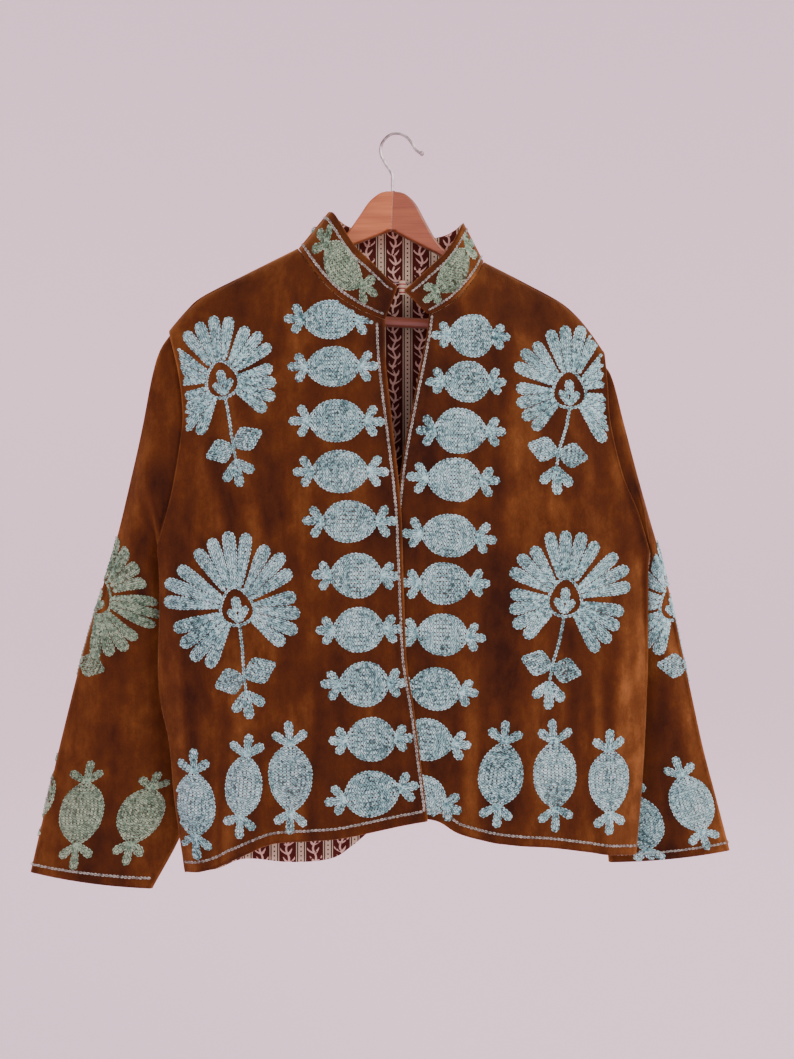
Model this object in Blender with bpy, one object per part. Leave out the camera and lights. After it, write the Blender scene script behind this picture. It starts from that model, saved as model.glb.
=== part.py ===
"""Embroidered velvet jacket with a stand collar, hanging open-fronted on a wooden hanger.

Blender 4.5, metres, +Z up. The front faces -Y. The origin is the top of the hook's
crook, on its inner side, where a peg holds the hanger. Tables are in millimetres.
"""
import math

import bpy
import bmesh

MM = 0.001

# Cloth
CLOTH = 2.2            # velvet with its lining
LINING = 1.0           # the back's own lining, where it shows inside
SEAM_GAP = 0.35        # half the room left between two pieces at a seam
LINING_GAP = 1.6

# Depth of the hung body: how far the cloth stands off the hanger's middle plane
ARM_STAND_OFF = 9.0
ARM_ROLL = 4.0
FRONT_SWELL = 35.0
BACK_SWELL = 19.0
SWELL_REACH = 60.0
OVERLAP_LIFT = 3.4
SLOPE_STEP = 8.0
PINCH_TOP = -430.0
PINCH_BOTTOM = -456.0

# Hanger and hook
HANGER_AT = (-7.0, -58.3)
HANGER_TILT = math.radians(3.0)
HANGER_THICK = 11.0
HANGER_EDGE = 2.5
BAR_RADIUS = 5.5
BAR_DROP = -135.0
BAR_END = 169.2
WIRE_RADIUS = 1.6

# Shoulder line over the hanger, as (x, z)
SHOULDER = ((-239, -203), (-222, -183), (-205, -168), (-106, -118), (-8, -66),
            (87, -132), (165, -173), (183, -188), (198, -206), (211, -225))

# Half of the body's width, as (z, half width)
HALF_WIDTH = ((-760, 234), (-640, 250), (-540, 254), (-428, 252), (-300, 222), (-200, 226))

# Outlines of the pieces, as (x, z)
NECK_LEFT = ((-16, -198), (-27, -194), (-44, -186), (-67, -170), (-90, -144), (-106, -118))
NECK_RIGHT = ((30, -193), (45, -185), (60, -173), (77, -152), (87, -132))
NECK_BACK = ((-106, -118), (-92, -128), (-60, -142), (-8, -149), (44, -150), (74, -142), (87, -132))
SHOULDER_LEFT = ((-106, -118), (-160, -145), (-205, -168), (-222, -183), (-239, -203))
SHOULDER_RIGHT = ((87, -132), (130, -154), (165, -173), (183, -188), (198, -206), (211, -225))
ARMHOLE_LEFT = ((-239, -203), (-229, -243), (-224, -280), (-225, -310), (-235, -371), (-250, -426))
ARMHOLE_RIGHT = ((211, -225), (214, -262), (217, -300), (230, -354), (245, -390), (257, -431))
SIDE_LEFT = ((-250, -426), (-248, -480), (-250, -572), (-238, -630), (-233, -690), (-223, -764))
SIDE_RIGHT = ((257, -431), (257, -506), (256, -570), (252, -644), (248, -700), (244, -745))
EDGE_LEFT = ((-16, -198), (-15, -240), (-8, -307), (0, -385), (3, -470), (6, -541), (14, -595), (27, -699))
EDGE_RIGHT = ((30, -193), (26, -220), (14, -280), (2, -346), (-10, -460), (-26, -600), (-38, -702))
HEM_LEFT = ((27, -699), (0, -704), (-50, -715), (-101, -722), (-132, -727), (-163, -741), (-189, -755),
            (-223, -764))
HEM_RIGHT = ((-38, -702), (0, -697), (35, -699), (59, -712), (97, -723), (147, -729), (204, -739),
             (244, -745))
HEM_BACK = ((-223, -764), (-194, -765), (-164, -755), (-120, -758), (-74, -757), (-50, -744),
            (-20, -722), (32, -712), (103, -732), (184, -740), (244, -745))

# Soft folds of the hung body, as (top x, top z, bottom x, bottom z, half width, height forward)
FRONT_FOLDS = (
    (-178, -190, -128, -455, 15, 5.0),
    (-205, -300, -168, -430, 11, 4.0),
    (-232, -470, -214, -700, 8, 5.0),
    (-150, -520, -158, -745, 18, 4.0),
    (-60, -420, -70, -715, 22, 3.0),
    (120, -190, 96, -420, 18, 4.5),
    (170, -260, 196, -470, 14, 4.0),
    (226, -480, 214, -735, 10, 4.5),
    (120, -500, 128, -725, 20, 3.5),
    (52, -330, 60, -690, 18, 3.0),
)
BACK_FOLDS = (
    (-150, -200, -120, -500, 20, 5.0),
    (-96, -560, -108, -756, 34, -7.0),
    (-30, -230, -20, -620, 24, 4.0),
    (90, -200, 70, -560, 22, 5.0),
    (160, -420, 150, -735, 20, 4.5),
)

# Sleeve rings: t, outer x, z, inner x, z, outer y, inner y, half depth, bow to the body
SLEEVE_LEFT = (
    (0.00, -233, -212, -243, -417, 0, 0, 7.6, 22),
    (0.08, -246, -227, -252, -427, 0, 0, 7.0, 19),
    (0.16, -256, -254, -254, -431, 3, 3, 9, 11),
    (0.24, -267, -300, -256, -434, 7, 8, 12, 4),
    (0.36, -280, -350, -255, -445, 12, 15, 15, 0),
    (0.50, -301, -432, -246, -476, 18, 24, 17, 0),
    (0.64, -330, -525, -234, -546, 22, 29, 17, 0),
    (0.78, -355, -620, -228, -636, 25, 30, 16, 0),
    (0.90, -376, -708, -226, -712, 27, 30, 15, 0),
    (1.00, -391, -772, -264, -790, 28, 30, 13, 0),
)
SLEEVE_RIGHT = (
    (0.00, 206, -235, 251, -421, 0, 0, 6.0, 16),
    (0.08, 219, -250, 260, -431, 0, 0, 6.4, 10),
    (0.18, 232, -298, 262, -435, 1, 1, 7, 4),
    (0.28, 246, -350, 264, -438, 3, 3, 8, 1),
    (0.38, 262, -404, 265, -443, 7, 8, 9, 0),
    (0.46, 275, -446, 261, -466, 12, 16, 11, 0),
    (0.56, 288, -500, 250, -508, 17, 24, 13, 0),
    (0.68, 304, -570, 237, -580, 21, 28, 15, 0),
    (0.80, 320, -640, 226, -652, 25, 30, 15, 0),
    (0.90, 334, -692, 219, -706, 27, 30, 15, 0),
    (1.00, 349, -749, 223, -762, 28, 30, 13, 0),
)
SLEEVE_FOLD_RADIUS = 4.0
RING_END_REACH = 1.16
# Soft folds round a sleeve: t at the middle, slant, half width in t, place across, height
SLEEVE_FOLDS = ((0.30, 0.10, 0.05, 0.35, 2.5), (0.46, -0.08, 0.05, 0.6, 2.5), (0.62, 0.08, 0.05, 0.4, 2.0))

# Collar: place round the neck, then how far its top edge leans from the seam, x, z and y
COLLAR = (
    (0.00, 13, 34, 3),
    (0.10, 18, 45, 3),
    (0.20, 24, 47, 4),
    (0.30, 30, 47, 3),
    (0.37, 32, 39, 0),
    (0.43, 26, 43, -3),
    (0.51, 0, 54, -3),
    (0.59, -22, 45, -3),
    (0.65, -21, 41, 0),
    (0.72, -20, 43, 3),
    (0.81, -18, 42, 4),
    (0.91, -21, 37, 3),
    (1.00, -25, 26, 3),
)
COLLAR_SIDES = (0.37, 0.65)
COLLAR_SEAM_ROOM = 1.7

# Wooden hanger in its own level frame, as (distance from the middle, height)
HANGER_TOP = ((0, 0), (12, -2), (24, -12), (34, -28), (47, -48), (60, -60), (90, -73.5), (188, -123))
HANGER_UNDER = ((188, -143), (172, -143), (170, -130), (96, -90), (52, -63), (35, -54), (0, -37))

# Hook wire, as (x, z), from the wood up round the crook to its tip
HOOK = ((-7.9, -57.8), (-7.9, -48), (-8.2, -40), (-15.3, -28.5), (-19.4, -20.5), (-20.3, -14),
        (-19, -8.6), (-15.8, -3.4), (-10, 1.2), (-4.2, 2.6), (2.5, 1.4), (8.1, -2.2), (12.2, -7.4),
        (15.4, -12.8), (18.7, -16.5), (22.6, -18.4))

VELVET = (0.18, 0.07, 0.025)
PRINT = (0.30, 0.12, 0.09)
WOOD = (0.55, 0.24, 0.12)
STEEL = (0.62, 0.62, 0.60)


def clamp(value, low=0.0, high=1.0):
    return max(low, min(high, value))


def smoothstep(start, end, value):
    f = clamp((value - start) / (end - start))
    return f * f * (3 - 2 * f)


def straight(table, at):
    """A row's values at a place in its first column, joined by straight lines."""
    if at <= table[0][0]:
        return table[0][1:]
    for low, high in zip(table, table[1:]):
        if at <= high[0]:
            f = (at - low[0]) / (high[0] - low[0])
            return tuple(a + (b - a) * f for a, b in zip(low[1:], high[1:]))
    return table[-1][1:]


def catmull(p0, p1, p2, p3, f):
    """Smooth value between p1 and p2."""
    return tuple(0.5 * (2 * b + (c - a) * f + (2 * a - 5 * b + 4 * c - d) * f * f
                        + (3 * b - 3 * c + d - a) * f ** 3) for a, b, c, d in zip(p0, p1, p2, p3))


def along(points, f):
    """Point at a share f of the length of a smooth line through the points."""
    lengths = [0.0]
    for a, b in zip(points, points[1:]):
        lengths.append(lengths[-1] + math.dist(a, b))
    target = clamp(f) * lengths[-1]
    k = 0
    while k < len(points) - 2 and lengths[k + 1] < target:
        k += 1
    local = (target - lengths[k]) / (lengths[k + 1] - lengths[k])
    first = points[max(k - 1, 0)]
    last = points[min(k + 2, len(points) - 1)]
    return catmull(first, points[k], points[k + 1], last, local)


def smooth_row(table, at):
    """A row's values at a place in its first column, joined by smooth lines."""
    k = 0
    while k < len(table) - 2 and table[k + 1][0] < at:
        k += 1
    f = clamp((at - table[k][0]) / (table[k + 1][0] - table[k][0]))
    first = table[max(k - 1, 0)][1:]
    last = table[min(k + 2, len(table) - 1)][1:]
    return catmull(first, table[k][1:], table[k + 1][1:], last, f)


def joined(parts, breaks, f):
    """Point on an outline made of parts that meet at corners, with each corner's share."""
    for part, low, high in zip(parts, breaks, breaks[1:]):
        if f <= high:
            return along(part, (f - low) / (high - low))
    return parts[-1][-1]


def drop_below_shoulder(x, z):
    return max(straight(SHOULDER, x)[0] - z, 0.0)


def shoulder_lean(x):
    """Cosine of the shoulder line's slope, which turns a drop into a distance from it."""
    rise = straight(SHOULDER, x + SLOPE_STEP)[0] - straight(SHOULDER, x - SLOPE_STEP)[0]
    return 1 / math.hypot(1, rise / (2 * SLOPE_STEP))


def middle_x(z):
    """The body's middle, which leans with the hanger."""
    return -22 - 0.0437 * z


def across(x, z):
    """Place across the body, -1 and 1 at its sides."""
    return clamp((x - middle_x(z)) / straight(HALF_WIDTH, z)[0], -1, 1)


def fold_height(folds, x, z):
    """Sum of the soft ridges at a point."""
    total = 0.0
    for top_x, top_z, bottom_x, bottom_z, half_width, height in folds:
        f = (z - top_z) / (bottom_z - top_z)
        line = top_x + (bottom_x - top_x) * f
        fade = smoothstep(-0.12, 0.22, f) * (1 - smoothstep(0.78, 1.12, f) * (bottom_z > -690))
        total += height * fade * math.exp(-((x - line) / half_width) ** 2)
    return total


def body_depth(x, z, swell, folds):
    """Distance of the cloth from the hanger's middle plane."""
    drop = drop_below_shoulder(x, z)
    place = across(x, z)
    stand_off = ARM_STAND_OFF * (1 - math.exp(-drop * shoulder_lean(x) / ARM_ROLL))
    side = smoothstep(PINCH_TOP, PINCH_BOTTOM, z) * abs(place) ** 24
    stand_off *= 1 - side
    bulge = swell * (1 - place ** 2) * 1.25 * drop / (drop + SWELL_REACH)
    ridge = fold_height(folds, x, z) * (1 - abs(place) ** 8) * smoothstep(10, 60, drop)
    return max(stand_off + bulge + ridge, CLOTH / 2 + SEAM_GAP)


def front_y(x, z):
    return -body_depth(x, z, FRONT_SWELL, FRONT_FOLDS)


def back_y(x, z):
    return body_depth(x, z, BACK_SWELL, BACK_FOLDS)


def overlap_y(x, z):
    """The overlapping front lies on the other one near the middle."""
    return front_y(x, z) - OVERLAP_LIFT * smoothstep(-120, -60, x) * smoothstep(-240, -330, z)


def patch(top, bottom, left, right, u, v):
    """Point of the flat outline: a blend of its four sides, each a function of its share."""
    t, b, l, r = top(u), bottom(u), left(v), right(v)
    c00, c10, c01, c11 = top(0), top(1), bottom(0), bottom(1)
    return tuple((1 - v) * t[k] + v * b[k] + (1 - u) * l[k] + u * r[k]
                 - (1 - u) * (1 - v) * c00[k] - u * (1 - v) * c10[k]
                 - (1 - u) * v * c01[k] - u * v * c11[k] for k in (0, 1))


UNDERARM = 0.40
FRONT_NECK_SHARE = 0.42
BACK_SHOULDER_SHARE = 0.30

PANELS = {
    "front_right": dict(
        top=lambda u: joined((NECK_LEFT, SHOULDER_LEFT), (0, FRONT_NECK_SHARE, 1), u),
        bottom=lambda u: along(HEM_LEFT, u),
        left=lambda v: along(EDGE_LEFT, v),
        right=lambda v: joined((ARMHOLE_LEFT, SIDE_LEFT), (0, UNDERARM, 1), v),
        depth=overlap_y),
    "front_left": dict(
        top=lambda u: joined((NECK_RIGHT, SHOULDER_RIGHT), (0, FRONT_NECK_SHARE, 1), u),
        bottom=lambda u: along(HEM_RIGHT, u),
        left=lambda v: along(EDGE_RIGHT, v),
        right=lambda v: joined((ARMHOLE_RIGHT, SIDE_RIGHT), (0, UNDERARM, 1), v),
        depth=front_y),
    "back": dict(
        top=lambda u: joined((SHOULDER_LEFT[::-1], NECK_BACK, SHOULDER_RIGHT),
                             (0, BACK_SHOULDER_SHARE, 1 - BACK_SHOULDER_SHARE, 1), u),
        bottom=lambda u: along(HEM_BACK, u),
        left=lambda v: joined((ARMHOLE_LEFT, SIDE_LEFT), (0, UNDERARM, 1), v),
        right=lambda v: joined((ARMHOLE_RIGHT, SIDE_RIGHT), (0, UNDERARM, 1), v),
        depth=back_y),
}


def panel_point(name, u, v):
    """Point in the middle of a body panel's wall, in millimetres."""
    sides = PANELS[name]
    x, z = patch(sides["top"], sides["bottom"], sides["left"], sides["right"], u, v)
    return x, sides["depth"](x, z), z


def ring_offset(angle, half_chord, half_depth, radius):
    """Flattened ring with rolled folds: place along its chord, and depth."""
    c, s = math.cos(angle), math.sin(angle)
    straight_half = half_chord - radius
    reach = abs(c) * RING_END_REACH
    if reach > 1:
        end = (reach - 1) / (RING_END_REACH - 1)
        return (math.copysign(straight_half + radius * end, c),
                math.copysign(radius * math.sqrt(1 - end * end), s))
    swell = (half_depth - radius) * (1 - reach ** 2)
    return math.copysign(straight_half * reach, c), math.copysign(radius + swell, s)


def sleeve_point(table, t, angle, grow=0.0):
    """Point of a sleeve's wall, in millimetres, grow outside its middle; angle 0 is the outer fold."""
    outer_x, outer_z, inner_x, inner_z, outer_y, inner_y, half_depth, bow = smooth_row(table, t)
    chord = math.hypot(inner_x - outer_x, inner_z - outer_z)
    dir_x, dir_z = (outer_x - inner_x) / chord, (outer_z - inner_z) / chord
    place, depth = ring_offset(angle, chord / 2 + grow, half_depth + grow, SLEEVE_FOLD_RADIUS + grow)
    share = clamp(place / (chord / 2), -1, 1)
    middle_y = inner_y + (outer_y - inner_y) * (share + 1) / 2
    bowed = bow * (1 - share ** 2) * (1 if outer_x < 0 else -1)
    ridge = 0.0
    for at, slant, width, where, height in SLEEVE_FOLDS:
        away = (t - at - slant * (share - where)) / width
        ridge += height * math.exp(-away ** 2) * (1 - share ** 2)
    x = (outer_x + inner_x) / 2 + dir_x * place + bowed * abs(dir_z)
    z = (outer_z + inner_z) / 2 + dir_z * place
    return x, middle_y + depth + math.copysign(ridge, depth), z


def collar_point(w, rise):
    """Point in the middle of the collar's wall: w round the neck, rise from seam to top."""
    near, far = COLLAR_SIDES
    seam_x, seam_z = joined((NECK_LEFT, NECK_BACK, NECK_RIGHT[::-1]), (0, near, far, 1), w)
    seam_y = back_y(seam_x, seam_z) if near < w < far else front_y(seam_x, seam_z)
    seam_y *= clamp(min(abs(w - near), abs(w - far)) / 0.03)
    lean_x, lean_z, lean_y = smooth_row(COLLAR, w)
    start = COLLAR_SEAM_ROOM / math.hypot(lean_x, lean_z)
    f = start + (1 - start) * rise
    return seam_x + lean_x * f, seam_y + lean_y * f, seam_z + lean_z * f


def span(count):
    return [k / (count - 1) for k in range(count)]


def eased(count, power):
    """Shares from 0 to 1, closer together near 0."""
    return [f ** power for f in span(count)]


def cross(a, b):
    return (a[1] * b[2] - a[2] * b[1], a[2] * b[0] - a[0] * b[2], a[0] * b[1] - a[1] * b[0])


def grid_normals(grid):
    """Unit normals of a grid of points."""
    rows, columns = len(grid), len(grid[0])
    normals = []
    for j in range(rows):
        line = []
        for i in range(columns):
            left, right = grid[j][max(i - 1, 0)], grid[j][min(i + 1, columns - 1)]
            up, down = grid[max(j - 1, 0)][i], grid[min(j + 1, rows - 1)][i]
            n = cross([b - a for a, b in zip(left, right)], [b - a for a, b in zip(up, down)])
            size = math.hypot(*n)
            line.append(tuple(c / size for c in n))
        normals.append(line)
    return normals


def cloth_piece(name, grid, thickness, colour):
    """Closed solid of even thickness over a grid of middle points."""
    normals = grid_normals(grid)
    walls = [[[tuple(p + side * thickness / 2 * n for p, n in zip(point, normal))
               for point, normal in zip(row, normal_row)] for row, normal_row in zip(grid, normals)]
             for side in (1, -1)]
    return wall_piece(name, *walls, colour)


def wall_piece(name, outer_points, inner_points, colour, closed=False):
    """Closed solid between two grids; closed grids join their last column to the first."""
    rows, columns = len(outer_points), len(outer_points[0])
    mesh = bpy.data.meshes.new(name)
    bm = bmesh.new()
    outer, inner = [[[bm.verts.new([c * MM for c in point]) for point in row] for row in points]
                    for points in (outer_points, inner_points)]
    last = columns if closed else columns - 1
    for j in range(rows - 1):
        for i in range(last):
            k = (i + 1) % columns
            bm.faces.new((outer[j][i], outer[j][k], outer[j + 1][k], outer[j + 1][i]))
            bm.faces.new((inner[j][i], inner[j + 1][i], inner[j + 1][k], inner[j][k]))
    for j in (0, rows - 1):
        for i in range(last):
            k = (i + 1) % columns
            bm.faces.new((outer[j][i], inner[j][i], inner[j][k], outer[j][k]))
    if not closed:
        for i in (0, columns - 1):
            for j in range(rows - 1):
                bm.faces.new((outer[j][i], outer[j + 1][i], inner[j + 1][i], inner[j][i]))
    bmesh.ops.triangulate(bm, faces=bm.faces)
    bmesh.ops.recalc_face_normals(bm, faces=bm.faces)
    bm.to_mesh(mesh)
    bm.free()
    return add_object(name, mesh, colour, 0.85, 0.0)


def add_object(name, data, colour, roughness, metallic):
    """Object with its own material."""
    material = bpy.data.materials.new(name)
    material.use_nodes = True
    shader = material.node_tree.nodes["Principled BSDF"]
    shader.inputs["Base Color"].default_value = (*colour, 1)
    shader.inputs["Roughness"].default_value = roughness
    shader.inputs["Metallic"].default_value = metallic
    data.materials.append(material)
    obj = bpy.data.objects.new(name, data)
    bpy.context.scene.collection.objects.link(obj)
    return obj


def split_span(breaks, counts):
    """Shares that stop at each corner of the outline."""
    shares = [breaks[0]]
    for low, high, count in zip(breaks, breaks[1:], counts):
        shares += [low + (high - low) * (k + 1) / count for k in range(count)]
    return shares


FRONT_COLUMNS = split_span((0, FRONT_NECK_SHARE, 1), (6, 9))
BACK_COLUMNS = split_span((0, BACK_SHOULDER_SHARE, 1 - BACK_SHOULDER_SHARE, 1), (8, 9, 8))
FRONT_ROWS = 27
BACK_ROWS = 25
ROW_EASE = 1.7
LINING_ROWS = 21
LINING_TOP_NECK = 0.006
LINING_TOP_SHOULDER = 0.05
LINING_SKIP_COLUMNS = 2


def body_panel(name, columns, rows):
    grid = [[panel_point(name, u, v) for u in columns] for v in eased(rows, ROW_EASE)]
    cloth_piece(name, grid, CLOTH, VELVET)


def make_body():
    body_panel("front_right", FRONT_COLUMNS, FRONT_ROWS)
    body_panel("front_left", FRONT_COLUMNS, FRONT_ROWS)
    body_panel("back", BACK_COLUMNS, BACK_ROWS)


def make_back_lining():
    """Lining that shows in the open neck and below the fronts, on the back's own columns."""
    off = (CLOTH + LINING) / 2 + LINING_GAP
    columns = BACK_COLUMNS[LINING_SKIP_COLUMNS:-LINING_SKIP_COLUMNS]
    grid = []
    for share in eased(LINING_ROWS, ROW_EASE):
        row = []
        for u in columns:
            in_neck = abs(u - 0.5) < 0.49 - BACK_SHOULDER_SHARE
            top = LINING_TOP_NECK if in_neck else LINING_TOP_SHOULDER
            x, y, z = panel_point("back", u, top + (1 - top) * share)
            row.append((x, y - off, z))
        grid.append(row)
    cloth_piece("lining_back", grid, LINING, PRINT)


def make_sleeve(name, table, columns=22, rows=18):
    angles = [2 * math.pi * (i + 0.5) / columns for i in range(columns)]
    walls = [[[sleeve_point(table, t, angle, grow) for angle in angles] for t in span(rows)]
             for grow in (CLOTH / 2, -CLOTH / 2)]
    wall_piece(name, *walls, VELVET, closed=True)


def make_collar(columns=33, rows=4):
    grid = [[collar_point(w, rise) for w in span(columns)] for rise in span(rows)]
    cloth_piece("collar", grid, CLOTH, VELVET)


def hanger_frame(x, z):
    """From the hanger's level frame to the tilted one."""
    c, s = math.cos(HANGER_TILT), math.sin(HANGER_TILT)
    return HANGER_AT[0] + x * c + z * s, HANGER_AT[1] - x * s + z * c


def make_hanger():
    """Two arms and the dome, cut from one board with rounded edges."""
    right = list(HANGER_TOP) + list(HANGER_UNDER)
    left = [(-x, z) for x, z in right[::-1] if x > 0]
    outline = [hanger_frame(x, z) for x, z in right + left]
    bm = bmesh.new()
    verts = [bm.verts.new((x * MM, -HANGER_THICK / 2 * MM, z * MM)) for x, z in outline]
    face = bm.faces.new(verts)
    moved = bmesh.ops.extrude_face_region(bm, geom=[face])["geom"]
    for v in moved:
        if isinstance(v, bmesh.types.BMVert):
            v.co.y += HANGER_THICK * MM
    bmesh.ops.recalc_face_normals(bm, faces=bm.faces)
    mesh = bpy.data.meshes.new("hanger")
    bm.to_mesh(mesh)
    bm.free()
    obj = add_object("hanger", mesh, WOOD, 0.45, 0.0)
    bevel = obj.modifiers.new("Edges", "BEVEL")
    bevel.width = HANGER_EDGE * MM
    bevel.segments = 2
    bevel.limit_method = "ANGLE"
    bevel.angle_limit = math.radians(60)


def rod(name, points, radius, colour, roughness, metallic, resolution=3):
    """Round rod along points given in millimetres as (x, z)."""
    curve = bpy.data.curves.new(name, "CURVE")
    curve.dimensions = "3D"
    curve.bevel_depth = radius * MM
    curve.bevel_resolution = resolution
    curve.use_fill_caps = True
    spline = curve.splines.new("POLY")
    spline.points.add(len(points) - 1)
    for point, (x, z) in zip(spline.points, points):
        point.co = (x * MM, 0, z * MM, 1)
    return add_object(name, curve, colour, roughness, metallic)


def make_bar():
    room = SEAM_GAP
    ends = [hanger_frame(side * (BAR_END - room), BAR_DROP) for side in (-1, 1)]
    rod("hanger_bar", ends, BAR_RADIUS, WOOD, 0.45, 0.0)


def make_hook():
    """Wire hook that stands on the dome; its crook's inner top is the origin."""
    points = [along(HOOK, f) for f in span(34)]
    rod("hook", points, WIRE_RADIUS, STEEL, 0.3, 1.0, 2)


def main():
    for obj in list(bpy.data.objects):
        bpy.data.objects.remove(obj)
    make_body()
    make_back_lining()
    make_sleeve("sleeve_right", SLEEVE_LEFT)
    make_sleeve("sleeve_left", SLEEVE_RIGHT)
    make_collar()
    make_hanger()
    make_bar()
    make_hook()


main()
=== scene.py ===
"""Looks of an embroidered velvet jacket with a stand collar, on a wooden hanger.

Tables are in millimetres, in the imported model's frame: +Z up, the front faces -Y.
"""
import math
import random

import bpy
import bmesh
import numpy as np
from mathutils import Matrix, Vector, noise


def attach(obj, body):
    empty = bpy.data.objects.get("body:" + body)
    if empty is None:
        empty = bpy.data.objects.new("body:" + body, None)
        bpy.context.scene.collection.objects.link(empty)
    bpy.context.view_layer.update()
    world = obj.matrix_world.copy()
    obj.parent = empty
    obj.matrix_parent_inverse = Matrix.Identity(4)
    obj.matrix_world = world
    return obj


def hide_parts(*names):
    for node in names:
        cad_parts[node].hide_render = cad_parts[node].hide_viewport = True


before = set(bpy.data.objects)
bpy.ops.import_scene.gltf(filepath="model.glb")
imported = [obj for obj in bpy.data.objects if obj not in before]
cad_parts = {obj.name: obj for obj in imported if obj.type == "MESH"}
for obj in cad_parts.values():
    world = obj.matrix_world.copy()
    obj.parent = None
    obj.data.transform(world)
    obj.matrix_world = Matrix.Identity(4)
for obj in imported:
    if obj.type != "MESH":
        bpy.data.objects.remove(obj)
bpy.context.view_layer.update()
MM = 0.001

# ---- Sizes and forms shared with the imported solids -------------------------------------

CLOTH = 2.2
LINING = 1.0
SEAM_GAP = 0.35
LINING_GAP = 1.6
ARM_STAND_OFF = 9.0
ARM_ROLL = 4.0
FRONT_SWELL = 35.0
BACK_SWELL = 19.0
SWELL_REACH = 60.0
OVERLAP_LIFT = 3.4
SWELL_GAIN = 1.25       # makes up for the slow start of the swell below the shoulder
SIDE_POWER = 24         # how sharply the cloth closes at the side seams
SOFT_POWER = 8          # how far folds keep from the side seams
SOFT_DROP = (10, 60)    # below the shoulder, where folds begin and where they are full
BODY_MIDDLE = (-22, -0.0437)    # x of the body's middle at z = 0, and its lean for each mm of z
FOLD_TO_HEM = -690      # a fold that ends below this runs out through the hem
SLOPE_STEP = 8.0
PINCH_TOP = -430.0
PINCH_BOTTOM = -456.0
SHOULDER = ((-239, -203), (-222, -183), (-205, -168), (-106, -118), (-8, -66),
            (87, -132), (165, -173), (183, -188), (198, -206), (211, -225))
HALF_WIDTH = ((-760, 234), (-640, 250), (-540, 254), (-428, 252), (-300, 222), (-200, 226))
NECK_LEFT = ((-16, -198), (-27, -194), (-44, -186), (-67, -170), (-90, -144), (-106, -118))
NECK_RIGHT = ((30, -193), (45, -185), (60, -173), (77, -152), (87, -132))
NECK_BACK = ((-106, -118), (-92, -128), (-60, -142), (-8, -149), (44, -150), (74, -142), (87, -132))
SHOULDER_LEFT = ((-106, -118), (-160, -145), (-205, -168), (-222, -183), (-239, -203))
SHOULDER_RIGHT = ((87, -132), (130, -154), (165, -173), (183, -188), (198, -206), (211, -225))
ARMHOLE_LEFT = ((-239, -203), (-229, -243), (-224, -280), (-225, -310), (-235, -371), (-250, -426))
ARMHOLE_RIGHT = ((211, -225), (214, -262), (217, -300), (230, -354), (245, -390), (257, -431))
SIDE_LEFT = ((-250, -426), (-248, -480), (-250, -572), (-238, -630), (-233, -690), (-223, -764))
SIDE_RIGHT = ((257, -431), (257, -506), (256, -570), (252, -644), (248, -700), (244, -745))
EDGE_LEFT = ((-16, -198), (-15, -240), (-8, -307), (0, -385), (3, -470), (6, -541), (14, -595),
             (27, -699))
EDGE_RIGHT = ((30, -193), (26, -220), (14, -280), (2, -346), (-10, -460), (-26, -600), (-38, -702))
HEM_LEFT = ((27, -699), (0, -704), (-50, -715), (-101, -722), (-132, -727), (-163, -741), (-189, -755),
            (-223, -764))
HEM_RIGHT = ((-38, -702), (0, -697), (35, -699), (59, -712), (97, -723), (147, -729), (204, -739),
             (244, -745))
HEM_BACK = ((-223, -764), (-194, -765), (-164, -755), (-120, -758), (-74, -757), (-50, -744),
            (-20, -722), (32, -712), (103, -732), (184, -740), (244, -745))

# Soft folds: top x, top z, bottom x, bottom z, half width, height forward
FRONT_FOLDS = (
    (-178, -190, -128, -455, 15, 5.0),
    (-205, -300, -168, -430, 11, 4.0),
    (-232, -470, -214, -700, 8, 5.0),
    (-150, -520, -158, -745, 18, 4.0),
    (-60, -420, -70, -715, 22, 3.0),
    (120, -190, 96, -420, 18, 4.5),
    (170, -260, 196, -470, 14, 4.0),
    (226, -480, 214, -735, 10, 4.5),
    (120, -500, 128, -725, 20, 3.5),
    (52, -330, 60, -690, 18, 3.0),
)
BACK_FOLDS = (
    (-150, -200, -120, -500, 20, 5.0),
    (-96, -560, -108, -756, 34, -7.0),
    (-30, -230, -20, -620, 24, 4.0),
    (90, -200, 70, -560, 22, 5.0),
    (160, -420, 150, -735, 20, 4.5),
)

# Sleeve rings: t, outer x, z, inner x, z, outer y, inner y, half depth, bow to the body
SLEEVE_LEFT = (
    (0.00, -237, -206, -243, -417, 0, 0, 7.6, 22),
    (0.08, -249, -224, -251, -427, 0, 0, 7.0, 19),
    (0.16, -258, -252, -252, -431, 3, 3, 9, 11),
    (0.24, -268, -300, -252, -436, 7, 8, 12, 4),
    (0.36, -280, -350, -248, -448, 12, 15, 15, 0),
    (0.50, -301, -432, -240, -478, 18, 24, 17, 0),
    (0.64, -330, -525, -234, -546, 22, 29, 17, 0),
    (0.78, -355, -620, -228, -636, 25, 30, 16, 0),
    (0.90, -376, -708, -226, -712, 27, 30, 15, 0),
    (1.00, -391, -772, -264, -790, 28, 30, 13, 0),
)
SLEEVE_RIGHT = (
    (0.00, 206, -235, 251, -421, 0, 0, 6.0, 16),
    (0.08, 219, -250, 260, -431, 0, 0, 6.4, 10),
    (0.18, 232, -298, 262, -435, 1, 1, 7, 4),
    (0.28, 246, -350, 262, -440, 3, 3, 8, 1),
    (0.38, 262, -404, 260, -448, 7, 8, 9, 0),
    (0.46, 275, -446, 254, -470, 12, 16, 11, 0),
    (0.56, 288, -500, 245, -510, 17, 24, 13, 0),
    (0.68, 304, -570, 237, -580, 21, 28, 15, 0),
    (0.80, 320, -640, 226, -652, 25, 30, 15, 0),
    (0.90, 334, -692, 219, -706, 27, 30, 15, 0),
    (1.00, 349, -749, 223, -762, 28, 30, 13, 0),
)
SLEEVE_FOLD_RADIUS = 4.0
RING_END_REACH = 1.16
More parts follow.
